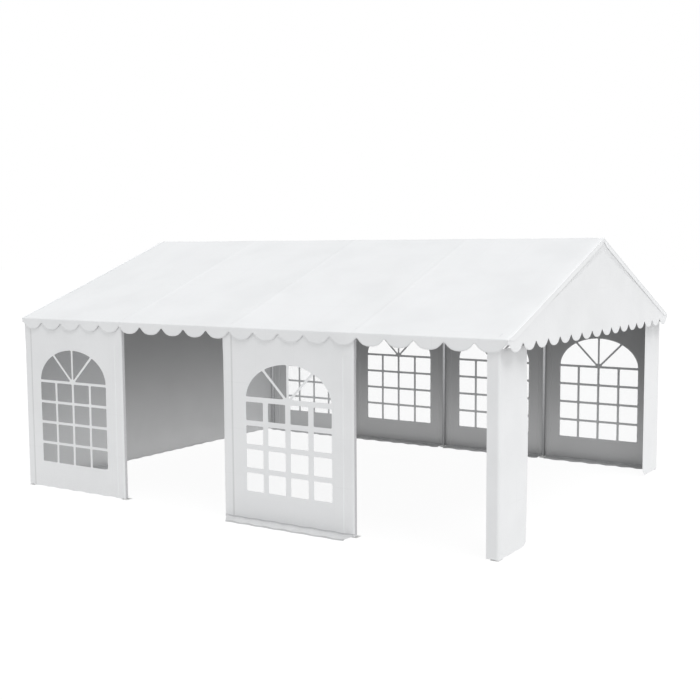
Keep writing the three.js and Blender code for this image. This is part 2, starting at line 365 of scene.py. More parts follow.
# %% [markdown]
# ## The canopy's cross-section
# Seen from the gable, the sheet goes up the valance, turns over the eave rail, climbs the slope, rounds the
# ridge tube and comes down the other side. It never makes a sharp fold over a tube. The stations below hold
# each point of that line with the direction that faces out.

# %% The canopy's cross-section
EAVE_BEND = 0.02
RIDGE_BEND = 0.035
VALANCE_ROWS = 8


def facing(angle):
    """Out of the cloth on the front half: 0 is level, a quarter turn is straight up."""
    return np.array([-math.cos(angle), math.sin(angle)])


def bend(middle, radius, angles):
    """Stations round a tube: each one's place and the way it faces."""
    return [(middle + radius * facing(a), facing(a)) for a in angles]


def running_length(points):
    """How far along a line of points each one is."""
    return np.concatenate([[0], np.cumsum(np.linalg.norm(np.diff(points, axis=0), axis=1))])


climb = math.pi / 2 - SLOPE
eave_tangent = EAVE_BEND * math.tan(climb / 2)
eave_middle = np.array([-HALF_WIDTH + EAVE_BEND, EAVE - eave_tangent])
ridge_middle = np.array([0.0, RIDGE - RIDGE_BEND / math.cos(SLOPE)])
slope_low = eave_middle + EAVE_BEND * facing(climb)
slope_high = ridge_middle + RIDGE_BEND * facing(climb)

stations = bend(eave_middle, EAVE_BEND, np.linspace(0, climb, 6))
for y in lobe_places(HALF_WIDTH, LOBES_ON_GABLE):
    if slope_low[0] + 0.01 < y < slope_high[0] - 0.01:
        share = (y - slope_low[0]) / (slope_high[0] - slope_low[0])
        stations.append((slope_low + share * (slope_high - slope_low), facing(climb)))
stations += bend(ridge_middle, RIDGE_BEND, np.linspace(climb, math.pi / 2, 4))
mirror = np.array([-1.0, 1.0])
stations += [(point * mirror, out * mirror) for point, out in stations[-2::-1]]
line_yz, line_out = (np.array(column) for column in zip(*stations))
line_length = running_length(line_yz)
print(len(stations), "stations over the roof,", round(line_length[-1], 3), "m from fold to fold")

# %% [markdown]
# ## The canopy along its length
# Columns of points stand at each lobe step, and closer at the welds over the middle frames. At the ends the
# sheet turns down into the gable round a small bend.

# %% The canopy along its length
GABLE_BEND = 0.008
WELD = 0.045  # the lap of two strips of cloth
WELD_RISE = 0.0011

weld_edges = [x + side * (WELD / 2 + d) for x in FRAME_X[1:-1] for side in (-1, 1) for d in (-0.002, 0.002)]
columns = [x for x in lobe_places(HALF_LENGTH, LOBES_ON_EAVE) if abs(x) < HALF_LENGTH - GABLE_BEND - 0.003]
columns = sorted(columns + weld_edges + [-HALF_LENGTH + GABLE_BEND, HALF_LENGTH - GABLE_BEND])
bend_angles = np.radians([22.5, 45.0, 67.5, 90.0])
column_x = np.concatenate([
    -(HALF_LENGTH - GABLE_BEND + GABLE_BEND * np.sin(bend_angles[::-1])),
    columns,
    HALF_LENGTH - GABLE_BEND + GABLE_BEND * np.sin(bend_angles),
])
column_in = np.concatenate([
    GABLE_BEND * (1 - np.cos(bend_angles[::-1])),
    np.zeros(len(columns)),
    GABLE_BEND * (1 - np.cos(bend_angles)),
])
print(len(column_x), "columns along the sheet")

# %% [markdown]
# ## How the sheet sits
# A tight sheet still gives a little. It dips between the frames, rests as a soft ridge on each rafter, and
# lifts a hair where two strips are welded. The valance is free at its lower edge, so it swings in and out
# from lobe to lobe. Each of these is a small move along the direction that faces out.

# %% How the sheet sits
SAG = 0.017  # between two frames
DIP = 0.006  # of the whole slope
CREASE = 0.0016
END_DROOP = 0.004  # past the last frame
CANOPY_SHIFT = 0.045  # the sheet was pulled this far towards the open end
ripple = np.random.default_rng(7)
lobe_swing = ripple.uniform(-1, 1, 64)


def soft_step(value, low, high):
    """Rises smoothly from 0 at low to 1 at high."""
    t = np.clip((value - low) / (high - low), 0, 1)
    return t * t * (3 - 2 * t)


def roof_move(x, up):
    """The outward move of the roof at x, where up goes from 0 at an eave to 1 at the ridge."""
    place = x + CANOPY_SHIFT
    from_frame = np.min([np.abs(place - f) for f in FRAME_X], axis=0)
    between = np.sin(np.pi * np.clip(from_frame, 0, 1) / 2) ** 1.3
    held = np.clip(4 * up * (1 - up), 0, 1) ** 0.6
    inside = np.abs(place) < FRAME_X[-1]
    move = -np.where(inside, SAG * between * (0.25 + 0.75 * held), 0.0)
    move -= np.where(inside, 0.0, END_DROOP * ((np.abs(place) - FRAME_X[-1]) / 0.1) ** 2)
    move -= DIP * held
    creases = np.sin(2.1 * x + 5 * up) * np.sin(3.3 * x - 7 * up)
    move += CREASE * creases * held * np.clip(from_frame * 4, 0, 1)
    for f in FRAME_X[1:-1]:
        move += WELD_RISE * (np.abs(x - f) < WELD / 2)
    return move


def valance_move(along, half, lobes, down):
    """The outward move of the valance, where down goes from 0 at the fold to 1 at its edge."""
    place = (along + half) / (2 * half) * lobes
    lobe = np.clip(np.floor(place), 0, lobes - 1).astype(int)
    here = np.sin(np.pi * (place - lobe)) ** 2
    swing = 0.004 * lobe_swing[lobe] + 0.0025
    wander = 0.003 * np.sin(2.9 * along + 1.0) + 0.002 * np.sin(7.1 * along)
    corner = soft_step(half - np.abs(along), 0.02, 0.25)
    return corner * down ** 1.5 * (swing * here + wander)


# %% [markdown]
# ## The canopy sheet
# The roof, both valances and both gables are one mesh, because the real sheet is one welded piece. Rows of
# points go up and over, and each gable hangs from the roof's own end points, so there is no gap at the fold.

# %% The canopy sheet
def four_sided(number, first=0, turned=False):
    """The faces of a grid of numbered points, each with that corner first, and perhaps turned over."""
    corners = [number[:-1, :-1], number[:-1, 1:], number[1:, 1:], number[1:, :-1]]
    corners = corners[first:] + corners[:first]
    return np.stack(corners[::-1] if turned else corners, axis=2).reshape(-1, 4)


def flat_grid(across, along):
    """The flat map of a grid whose rows are at along and columns at across."""
    return np.stack(np.meshgrid(along, across, indexing="ij")[::-1], axis=2).reshape(-1, 2)


up_share = np.clip(1 - np.abs(line_yz[:, 0]) / HALF_WIDTH, 0, 1)
down_share = np.linspace(1, 0, VALANCE_ROWS + 1)[:-1]
front_drop = valance_drop(column_x, HALF_LENGTH, LOBES_ON_EAVE)
front_drop = np.where(np.abs(column_x) > HALF_LENGTH - GABLE_BEND, NOTCH, front_drop)

rows = []
row_flat = []
for side in (-1, 1):
    hung = []
    for down in down_share:
        out = valance_move(column_x, HALF_LENGTH, LOBES_ON_EAVE, down) - column_in
        z = line_yz[0, 1] - down * (front_drop - eave_tangent)
        hung.append(np.stack([column_x, side * (HALF_WIDTH + out), z], axis=1))
        row_flat.append(side * (line_length[-1] / 2 + down * (VALANCE - eave_tangent)))
    rows.append(hung)
roof_rows = []
for (y, z), (out_y, out_z), up in zip(line_yz, line_out, up_share):
    move = roof_move(column_x, up) * soft_step(up, 0.0, 0.02) - column_in
    roof_rows.append(np.stack([column_x, y + move * out_y, z + move * out_z], axis=1))
grid = np.array(rows[0] + roof_rows + rows[1][::-1])
grid_flat = np.concatenate([
    row_flat[:VALANCE_ROWS], line_length - line_length[-1] / 2, row_flat[VALANCE_ROWS:][::-1],
])
count_k, count_c = grid.shape[:2]
points = [grid.reshape(-1, 3)]
flat_map = [flat_grid(column_x, grid_flat)]
index = np.arange(count_k * count_c).reshape(count_k, count_c)
faces = [four_sided(index)]

low_k, high_k = VALANCE_ROWS, count_k - 1 - VALANCE_ROWS
gable_edges = []
next_point = count_k * count_c
for side, column in ((1, count_c - 1), (-1, 0)):
    top = grid[low_k:high_k + 1, column]
    hang_index = np.zeros((len(top), VALANCE_ROWS + 1), int)
    hang_index[:, 0] = index[low_k:high_k + 1, column]
    hang_index[0, :] = index[low_k::-1, column][:VALANCE_ROWS + 1]
    hang_index[-1, :] = index[high_k:, column]
    bottom = EAVE - valance_drop(top[:, 1], HALF_WIDTH, LOBES_ON_GABLE)
    middle = slice(1, len(top) - 1)
    for row in range(1, VALANCE_ROWS + 1):
        down = row / VALANCE_ROWS
        z = top[middle, 2] + (bottom[middle] - top[middle, 2]) * down
        y = top[middle, 1]
        below = np.clip((EAVE - z) / VALANCE, 0, 1)
        belly = soft_step(HALF_WIDTH - np.abs(y), 0.0, 0.8) * np.sin(np.pi * np.clip(down, 0, 1) * 0.8)
        out = valance_move(y, HALF_WIDTH, LOBES_ON_GABLE, below) - 0.006 * belly
        out += 0.003 * belly * np.sin(2.2 * y + 0.7) * np.sin(3.0 * z)
        new = np.stack([side * (HALF_LENGTH + out), y, z], axis=1)
        points.append(new)
        flat_map.append(np.stack([y + side * 20, z], axis=1))
        hang_index[middle, row] = next_point + np.arange(len(new))
        next_point += len(new)
    faces.append(four_sided(hang_index, first=1, turned=side < 0))
    gable_edges.append(hang_index[:, -1])
canopy_points = np.concatenate(points) + (CANOPY_SHIFT, 0, 0)
canopy_faces = np.concatenate(faces)
print(len(canopy_points), "points and", len(canopy_faces), "faces in one layer of the canopy")

# %% [markdown]
# ## From points to cloth
# A helper makes the mesh, gives it the flat map that the finish reads, and shades it smoothly except over
# the cut rim. Solidify then gives the canopy its thickness, inwards, and its inner face gets the duller
# finish, a darker copy of the cloth that is painted shade of the tent's inside.

# %% From points to cloth
def cloth_mesh(name, points, faces, flat, finishes, finish_of_face=None):
    """A mesh object with a flat map in metres, shaded smoothly."""
    mesh = bpy.data.meshes.new(name)
    mesh.from_pydata(np.asarray(points).tolist(), [], [[int(i) for i in face] for face in faces])
    layer = mesh.uv_layers.new(name="cloth")
    corners = np.zeros(len(mesh.loops), int)
    mesh.loops.foreach_get("vertex_index", corners)
    layer.data.foreach_set("uv", np.asarray(flat, float)[corners].ravel())
    for finish in finishes:
        mesh.materials.append(finish)
    if finish_of_face is not None:
        mesh.polygons.foreach_set("material_index", np.asarray(finish_of_face, int))
    mesh.polygons.foreach_set("use_smooth", np.ones(len(mesh.polygons), bool))
    mesh.update()
    return new_object(name, mesh)


def made_plain(piece, sharp):
    """Turns what the modifiers show into the piece's own mesh."""
    shown = piece.evaluated_get(bpy.context.evaluated_depsgraph_get())
    mesh = bpy.data.meshes.new_from_object(shown)
    piece.modifiers.clear()
    piece.data = mesh
    mesh.set_sharp_from_angle(angle=math.radians(sharp))


CLOTH_THICKNESS = 0.002


def thickened(piece, inner_finish=0):
    """Gives a sheet its thickness, inwards; the inner face takes the finish that many places on."""
    thick = piece.modifiers.new("thickness", "SOLIDIFY")
    thick.thickness = CLOTH_THICKNESS
    thick.offset = -1
    thick.material_offset = inner_finish
    made_plain(piece, sharp=50)
    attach(piece, "root")



canopy = cloth_mesh(
    "canopy", canopy_points, canopy_faces, np.concatenate(flat_map), [cloth_outside, cloth_inside])
thickened(canopy, inner_finish=1)
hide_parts("roof_front", "roof_back", "valance_front", "valance_back", "gable_left", "gable_right")
print("the canopy has", len(canopy.data.polygons), "faces with both sides")

# %% [markdown]
# ## How big a cut is
# Every sheet was flat before it went up. A helper measures a cut from one layer of its faces, so that
# the size is the cloth that is really needed and not a guess.

# %% How big a cut is
def sheet_area(points, faces):
    """The area of one layer of faces."""
    total = 0.0
    for k in range(1, faces.shape[1] - 1):
        a, b, c = points[faces[:, 0]], points[faces[:, k]], points[faces[:, k + 1]]
        total += np.linalg.norm(np.cross(b - a, c - a), axis=1).sum() / 2
    return float(total)


# %% [markdown]
# ## The tape on the scallops
# A narrow woven tape is sewn over the cut edge of every valance, or the lobes would fray. It follows the
# edge round each lobe and into each notch, so it is a job for a small Geometry Nodes tree: a flat profile is
# carried along the edge, and a normal that faces out of the cloth keeps the tape flat against it.

# %% Woven tape
def woven_tape(name, light, dark, ribs):
    """Polyester tape: fine ribs across and a little variation in tone."""
    finish, tree, shader = new_finish(name)
    place = add_node(tree, "ShaderNodeTexCoord").outputs["Object"]
    rib = add_node(tree, "ShaderNodeTexWave", wave_type="BANDS", bands_direction="DIAGONAL")
    joined(tree, rib, Vector=place, Scale=ribs)
    tone = cloudy(tree, place, 30.0, 3.0)
    joined(tree, shader, Normal=bumped(tree, rib.outputs["Fac"], 0.0004), Sheen_Weight=0.2,
           Base_Color=two_tones(tree, tone, light, dark), Roughness=spread(tree, tone, 0.3, 0.7, 0.6, 0.8))
    return finish


edge_binding = woven_tape("edge_binding", (0.80, 0.805, 0.81), (0.73, 0.735, 0.74), 90.0)
painted_shade_tape = woven_tape("painted_shade_tape", (0.62, 0.62, 0.63), (0.55, 0.55, 0.56), 120.0)
print("tapes", edge_binding.name, painted_shade_tape.name)

# %% [markdown]
# ## A workbench for Geometry Nodes
# Each tree starts the same way, with an incoming mesh of points, some named sizes and a finish. Running one
# means setting its finish by the socket's identifier, then keeping the result as a plain mesh.

# %% A workbench for Geometry Nodes
def new_tree(name, sizes):
    """A tree with named sizes: the tree, its input node and its output node."""
    tree = bpy.data.node_groups.new(name, "GeometryNodeTree")
    tree.interface.new_socket("Points", in_out="INPUT", socket_type="NodeSocketGeometry")
    for title, value in sizes.items():
        socket = tree.interface.new_socket(title, in_out="INPUT", socket_type="NodeSocketFloat")
        socket.default_value = value
    tree.interface.new_socket("Finish", in_out="INPUT", socket_type="NodeSocketMaterial")
    tree.interface.new_socket("Made", in_out="OUTPUT", socket_type="NodeSocketGeometry")
    return tree, add_node(tree, "NodeGroupInput"), add_node(tree, "NodeGroupOutput")


def finished(tree, shape, start, end):
    """Every tree ends in real geometry with its finish on."""
    real = joined(tree, add_node(tree, "GeometryNodeRealizeInstances"), Geometry=shape)
    coated = add_node(tree, "GeometryNodeSetMaterial")
    joined(tree, end, Made=joined(tree, coated, Geometry=real, Material=start.outputs["Finish"]))


def facing_direction(tree):
    """The direction out of the surface that each point carries."""
    carried = add_node(tree, "GeometryNodeInputNamedAttribute", data_type="FLOAT_VECTOR")
    return joined(tree, carried, Name="out")


def made_by(name, tree, points, edges, outs, finish):
    """A piece made by a tree from points, which carry the direction that faces out of the surface."""
    mesh = bpy.data.meshes.new(name)
    mesh.from_pydata([tuple(p) for p in points], [tuple(e) for e in edges], [])
    facing_out = mesh.attributes.new("out", "FLOAT_VECTOR", "POINT")
    facing_out.data.foreach_set("vector", np.asarray(outs, float).ravel())
    piece = new_object(name, mesh)
    step = piece.modifiers.new("made", "NODES")
    step.node_group = tree
    for socket in tree.interface.items_tree:
        if socket.name == "Finish":
            step[socket.identifier] = finish
    made_plain(piece, sharp=35)
    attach(piece, "root")
    return piece


# %% Tape along an edge
TAPE_WIDTH = 0.014
TAPE_THICKNESS = 0.0044  # over both faces of the cloth

tape_tree, start, end = new_tree("tape_along_an_edge", {"Width": TAPE_WIDTH, "Thickness": TAPE_THICKNESS})
path = joined(tape_tree, add_node(tape_tree, "GeometryNodeMeshToCurve"), Mesh=start.outputs["Points"])
turned = add_node(tape_tree, "GeometryNodeSetCurveNormal", mode="FREE")
path = joined(tape_tree, turned, Curve=path, Normal=facing_direction(tape_tree))
profile = joined(tape_tree, add_node(tape_tree, "GeometryNodeCurvePrimitiveQuadrilateral"),
                 Width=start.outputs["Thickness"], Height=start.outputs["Width"])
swept = add_node(tape_tree, "GeometryNodeCurveToMesh")
finished(tape_tree, joined(tape_tree, swept, Curve=path, Profile_Curve=profile, Fill_Caps=True), start, end)

right_edge, left_edge = gable_edges
for name, edge, out in (
    ("front", index[0], (0, -1, 0)), ("back", index[-1], (0, 1, 0)),
    ("right", right_edge, (1, 0, 0)), ("left", left_edge, (-1, 0, 0)),
):
    lifted = canopy_points[edge] + np.array([0, 0, TAPE_WIDTH * 0.3]) - np.array(out) * CLOTH_THICKNESS / 2
    links = [(i, i + 1) for i in range(len(edge) - 1)]
    tape = made_by(
        f"valance_tape_{name}", tape_tree, lifted, links, [out] * len(edge), edge_binding)
    print(tape.name, [round(d, 3) for d in tape.dimensions])

# %% [markdown]
# ## The hem along each gable
# Where the roof turns down into the gable, a doubled band of cloth is sewn over the fold. Its lighter tone
# is painted light that lifts the shade under the bead. It lies a few centimetres on the gable, and a cord in
# it makes a round bead on the fold. It follows the roof's own cross-section and gets narrow at the eaves
# and at the ridge, where there is no room for it.

# %% The hem along each gable
HEM_ON_ROOF = 0.035
HEM_ON_GABLE = 0.055
HEM_LIFT = 0.0032
BEAD = 0.012
BEAD_MIDDLE = (-0.004, 0.002)  # past the fold and above it
bead_angles = np.radians([180, 140, 100, 60, 20, -20, -45])
hem_finish_painted_light = coated_cloth("hem_painted_light", (0.87, 0.875, 0.88), (0.80, 0.805, 0.81))

for side, end_name in ((1, "right"), (-1, "left")):
    rows_of_hem = []
    for (y, z), (out_y, out_z), up in zip(line_yz, line_out, up_share):
        taper = soft_step(up, 0.0, 0.05)
        bead = BEAD * (0.4 + 0.6 * taper)
        wide = 0.004 + taper * (0.026 + (HEM_ON_GABLE - 0.03) * soft_step(abs(y), 0.0, 0.15))
        across = np.array([
            -HEM_ON_ROOF, -0.022, *(BEAD_MIDDLE[0] + bead * np.cos(bead_angles)), 0.004, 0.004, 0.004])
        rise = np.array([
            HEM_LIFT, HEM_LIFT, *(BEAD_MIDDLE[1] + bead * np.sin(bead_angles)),
            -0.009, -0.009 - wide / 2, -0.009 - wide])
        rise = rise + roof_move(side * (HALF_LENGTH + np.minimum(across, 0)), up) * soft_step(up, 0.0, 0.02)
        x = side * (HALF_LENGTH + across) + CANOPY_SHIFT
        rows_of_hem.append(np.stack([x, y + rise * out_y, z + rise * out_z], axis=1))
    strip = np.array(rows_of_hem)
    number = np.arange(strip.shape[0] * len(across)).reshape(strip.shape[0], len(across))
    over = running_length(np.column_stack([across, rise]))
    hem = cloth_mesh(f"rake_hem_{end_name}", strip.reshape(-1, 3), four_sided(number, turned=side < 0),
                     flat_grid(over, line_length), [hem_finish_painted_light])
    thickened(hem)

print("two hems,", round(float(line_length[-1]), 3), "m long each")

# %% [markdown]
# ## Cutting a wall panel
# A wall panel is a flat cut of cloth with its window panes cut out. It is cut flat here too: the outline, the
# panes and a loose grid of points go through one triangulation, and what falls in a pane is thrown away. The
# edges of the panes are then exact, with no Boolean, and the grid leaves enough points for soft waves.

# %% Cutting a wall panel
def within(loop, spots):
    """Which spots lie inside a closed loop."""
    inside = np.zeros(len(spots), bool)
    for (x1, y1), (x2, y2) in zip(loop, np.roll(loop, -1, axis=0)):
        if y1 != y2:
            crosses = (y1 > spots[:, 1]) != (y2 > spots[:, 1])
            inside ^= crosses & (spots[:, 0] < (x2 - x1) * (spots[:, 1] - y1) / (y2 - y1) + x1)
    return inside


def apart(loop, spots):
    """How far each spot is from a loop."""
    start, run = loop, np.roll(loop, -1, axis=0) - loop
    share = ((spots[:, None] - start) * run).sum(2) / (run * run).sum(1)
    nearest = start + np.clip(share, 0, 1)[..., None] * run
    return np.linalg.norm(spots[:, None] - nearest, axis=2).min(1)


def divided(outline, u_lines, v_lines):
    """An outline with a point wherever it crosses a line of the grid."""
    loop = []
    for a, b in zip(outline, np.roll(outline, -1, axis=0)):
        shares = [0.0]
        for k, lines in ((0, u_lines), (1, v_lines)):
            if abs(b[k] - a[k]) > 1e-6:
                shares += [(line - a[k]) / (b[k] - a[k]) for line in lines]
        length = np.linalg.norm(b - a)
        last = -1.0
        for share in sorted(s for s in shares if 0 <= s < 1 - 0.003 / length):
            if (share - last) * length > 0.003:
                loop.append(a + share * (b - a))
                last = share
    return np.array(loop)


def cut_cloth(outline, openings, u_lines, v_lines, clear=0.011):
    """The triangles of a flat cut of cloth: its points and faces, all turned the same way."""
    loops = [divided(np.array(outline, float), u_lines, v_lines)] + [np.array(loop) for loop in openings]
    spots = np.array([(u, v) for u in u_lines for v in v_lines])
    spots = spots[within(loops[0], spots)]
    for loop in loops:
        spots = spots[apart(loop, spots) > clear]
    for loop in loops[1:]:
        spots = spots[~within(loop, spots)]
    edges, first = [], 0
    for loop in loops:
        edges += [(first + i, first + (i + 1) % len(loop)) for i in range(len(loop))]
        first += len(loop)
    cut = delaunay_2d_cdt([Vector(p) for p in np.concatenate([*loops, spots])], edges, [], 0, 1e-6)
    flat, faces = np.array([tuple(p) for p in cut[0]]), np.array([tuple(f) for f in cut[2]])
    centres = flat[faces].mean(axis=1)
    keep = within(loops[0], centres)
    for loop in loops[1:]:
        keep &= ~within(loop, centres)
    faces = faces[keep]
    a, b, c = (flat[faces[:, k]] for k in range(3))
    turned_over = (b - a)[:, 0] * (c - a)[:, 1] - (b - a)[:, 1] * (c - a)[:, 0] < 0
    faces[turned_over] = faces[turned_over][:, ::-1]
    return flat, faces


# %% [markdown]
# ## Hanging it
# Seen from above, a hung wall follows a plan line: straight between two posts, round a corner post, or
# folded back round a doorway post. Seen from the side it drops straight and turns along the ground as a
# flap. The flat cut is carried onto those two lines, so its edges and panes stay at their true sizes.

# %% The plan line
POST_WRAP = 0.035


def plan_line(corners, radius=POST_WRAP, step=0.045):
    """A plan line with rounded corners: lengths along it, places and outward directions."""
    corners = [np.array(c, float) for c in corners]
    ahead = [(b - a) / np.linalg.norm(b - a) for a, b in zip(corners, corners[1:])]
    turns = [math.acos(float(np.clip(a @ b, -1, 1))) for a, b in zip(ahead, ahead[1:])]
    places, outs, begin = [], [], corners[0]
    for i, way in enumerate(ahead):
        out = np.array([way[1], -way[0]])
        cut = radius * math.tan(turns[i] / 2) if i < len(turns) else 0.0
        finish = corners[i + 1] - way * cut
        parts = max(1, round(float(np.linalg.norm(finish - begin)) / step))
        places += [begin + (finish - begin) * k / parts for k in range(parts + 1)]
        outs += [out] * (parts + 1)
        if i < len(turns):
            middle = finish - radius * out
            for angle in np.linspace(0, turns[i], 9)[1:-1]:
                turned = np.array([
                    out[0] * math.cos(angle) - out[1] * math.sin(angle),
                    out[0] * math.sin(angle) + out[1] * math.cos(angle),
                ])
                places.append(middle + radius * turned)
                outs.append(turned)
            begin = corners[i + 1] + ahead[i + 1] * cut
    return running_length(places), np.array(places), np.array(outs)


def on_line(line, u, which):
    """The places (which is 1) or the outward directions (2) at u along a plan line."""
    return np.stack([np.interp(u, line[0], line[which][:, k]) for k in range(2)], axis=1)


def length_at(line, x, y):
    """How far along a plan line the place nearest to (x, y) is."""
    fine = np.linspace(0, line[0][-1], 4001)
    return float(fine[np.argmin(np.linalg.norm(on_line(line, fine, 1) - (x, y), axis=1))])


# %% The drop and the ground flap
FLAP = 0.19
FLAP_HEM = 0.03  # the rolled hem along the flap's free edge
FLAP_BEND = 0.02
FLAP_END = FLAP_BEND * (1 - math.pi / 2)  # where the bend is over and the flap lies flat
FOLD_SHADE_LINE = FLAP_BEND + 0.009  # a grey line just over the flap's bend: painted shade of the fold
FOLD_SHADE_LINE_HALF = 0.006


def drop(v, flap):
    """Where the cloth is at v above the ground: outward move, height and the way it faces.

    flap is 1 where the flap lies outside, -1 where it is turned inside, and 0 for a straight hem."""
    angle = np.clip((FLAP_BEND - v) / FLAP_BEND, 0, math.pi / 2) * abs(flap)
    beyond = np.clip(FLAP_END - v, 0, None) * abs(flap)
    height = np.where(angle > 0, FLAP_BEND * (1 - np.sin(angle)), v)
    out = flap * (FLAP_BEND * (1 - np.cos(angle)) + beyond)
    rest = (CLOTH_THICKNESS if flap > 0 else 0.0) * soft_step(angle, 0, math.pi / 2)
    return out, height + rest, np.cos(angle), flap * np.sin(angle)


RUFFLE = 0.008
DRAWN_IN = {1: 0.015, 0: 0.0, -1: 0.05}  # how far the ruffles draw in the edge of each kind of flap


def ruffled(u):
    """The ruffles along the low cloth, from 0 to 1."""
    return 0.5 + 0.5 * np.sin(22 * u + 1.3 * np.sin(2.1 * u))


def low_lift(u, v):
    """How far the low cloth stands off the ground: it ruffles, and a flap's hem comes down again."""
    low = 1 - soft_step(v, 0.0, 0.15)
    return low * (0.0008 + soft_step(v + FLAP, 0.0, FLAP_HEM) * (0.005 + RUFFLE * ruffled(u)))


# %% One hung sheet
def closed_layers(faces, count):
    """Faces of a sheet with two layers of count points each, and a rim between them."""
    edges = np.concatenate([faces[:, [0, 1]], faces[:, [1, 2]], faces[:, [2, 0]]])
    known = set(map(tuple, edges.tolist()))
    rim = [(b, a, a + count, b + count) for a, b in known if (b, a) not in known]
    return faces.tolist(), (faces[:, ::-1] + count).tolist(), sorted(rim)


def hung_sheet(name, line, outline, openings, finishes, lines_v, sway, flap=0, behind=0.0,
               thickness=CLOTH_THICKNESS, extra_u=(), seam=None, edges=None):
    """A hung sheet and its flat cut area.

    Whatever lies past the two edges takes the third finish, and the seam and the flap's upper face the
    fourth."""
    lines_u = np.unique(np.round(np.concatenate([line[0], extra_u]), 4))
    flat, faces = cut_cloth(outline, openings, lines_u, lines_v)
    u, v = flat[:, 0], flat[:, 1]
    places, outs = on_line(line, u, 1), on_line(line, u, 2)
    outs /= np.linalg.norm(outs, axis=1)[:, None]
    out, height, out_share, up_share = drop(v, flap)
    lift = low_lift(u, v)
    out = out - flap * DRAWN_IN[flap] * ruffled(u) * soft_step(-v, 0.0, FLAP)
    layers = []
    for depth in (0.0, thickness):
        away = out + out_share * (sway(u, v) - behind - depth)
        xy = places + outs * away[:, None]
        layers.append(np.column_stack([xy, height + lift - up_share * depth]))
    front, back, rim = closed_layers(faces, len(flat))
    centre_u, centre_v = flat[faces].mean(axis=1).T
    kinds = np.zeros(len(front), int)
    # a darker band on the seam: painted shadow of the step between panel and strip
    if seam is not None:
        kinds[np.abs(centre_u - seam) < SEAM_HALF] = 3
    # past the turned edges the grey tape finish: painted shade on the return
    if edges is not None:
        kinds[(centre_u < edges[0]) | (centre_u > edges[1])] = 2
    if flap > 0:
        kinds[centre_v < FOLD_SHADE_LINE] = 3
        # the grey line just over the bend is painted shade of the fold
        kinds[np.abs(centre_v - FOLD_SHADE_LINE) < FOLD_SHADE_LINE_HALF] = 2
        # the hem along the free edge takes the grey inner finish: painted shade under the lifted edge
        kinds[centre_v < FLAP_HEM - FLAP] = 1
    # the upper face of a flap turned inside takes the lighter fourth finish: painted light where the canopy
    # keeps the sky off
    inner = np.where((centre_v < FLAP_BEND) & (flap < 0), 3, 1)
    kinds = np.concatenate([kinds, inner, np.zeros(len(rim), int)])
    kinds = np.minimum(kinds, len(finishes) - 1)
    piece = cloth_mesh(name, np.concatenate(layers), front + back + rim, np.concatenate([flat, flat]),
                       finishes, kinds)
    piece.data.set_sharp_from_angle(angle=math.radians(50))
    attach(piece, "root")
    return piece, sheet_area(np.column_stack([flat, np.zeros(len(flat))]), faces)


# half the darker band on a seam: painted shadow of the step there
SEAM_HALF = 0.016
SEAM_STEP = 0.005  # the middle panel stands this proud of its side strips


def panel_sway(seed, top, held, seams=(), low=0.006, high=0.003, over=0.0):
    """The outward waves of a panel, which is held along the plan places in held.

    Between its seams the middle panel stands proud of the strips that are wrapped round the posts."""
    dice = np.random.default_rng(seed)
    waves = [(dice.uniform(1.5, 4.5), dice.uniform(-2.5, 2.5), dice.uniform(0, 6.28)) for _ in range(4)]

    def sway(u, v):
        free = np.ones_like(u)
        for place in held:
            free = free * soft_step(np.abs(u - place), 0.03, 0.3)
        free = free * soft_step(top - v, 0.1, 0.5)
        near_ground = 1 - soft_step(v, 0.0, 0.9)
        move = sum(np.sin(a * u * 2 + b * v * 2 + c) for a, b, c in waves) / 4
        level = np.sin(waves[0][2] + 1.2 * np.sin(1.3 * u) + 9.0 * v)
        move = free * (high * move + low * near_ground * (0.6 * move + 0.4 * level)) + over
        if len(seams):
            middle, half = sum(seams) / 2, abs(seams[1] - seams[0]) / 2
            outside = soft_step(np.abs(u - middle), half - 0.003, half + 0.003)
            move = move - SEAM_STEP * outside * (1 - soft_step(v, 2.2, 2.35))
        return move

    return sway


# %% [markdown]
# ## The church window
# Each window has four columns of four panes under a round arch, whose fan is cut in four by an upright and
# two slanting bars. The bars are the wall cloth itself, so a window is a set of cut-outs with small round
# corners. The list of panes is worked out from the width of the window and of its bars.

# %% The church window
WINDOW_HALF = 0.693
WINDOW_FOOT = 0.411
TRANSOM = 1.647
ARCH_TOP = 2.135
WIDE_BARS = (0.084, 0.070, 0.034)  # upright, level and fan bars of the third bay's window
SLIM_BARS = (0.040, 0.038, 0.031)  # and of all the others
PANE_CORNER = 0.016


def rounded(corners, radius, steps=4):
    """A loop whose sharp corners are rounded, and whose gentle bends are left."""
    corners = np.array(corners, float)
    loop = []
    for before, here, after in zip(np.roll(corners, 1, axis=0), corners, np.roll(corners, -1, axis=0)):
        back, on = before - here, after - here
        back, on = back / np.linalg.norm(back), on / np.linalg.norm(on)
        turn = math.pi - math.acos(float(np.clip(back @ on, -1, 1)))
        if turn < math.radians(30):
            loop.append(here)
            continue
        shorter_side = min(np.linalg.norm(before - here), np.linalg.norm(after - here))
        cut = min(radius * math.tan(turn / 2), 0.45 * shorter_side)
        first, last = here + back * cut, here + on * cut
        for share in np.linspace(0, 1, steps + 1):
            loop.append((1 - share) ** 2 * first + 2 * share * (1 - share) * here + share ** 2 * last)
    return np.array(loop)


def arch(half, rise, low, high, count):
    """Points on the arch between two angles, about the middle of the transom."""
    angles = np.linspace(low, high, count)
    return np.column_stack([half * np.cos(angles), rise * np.sin(angles)])


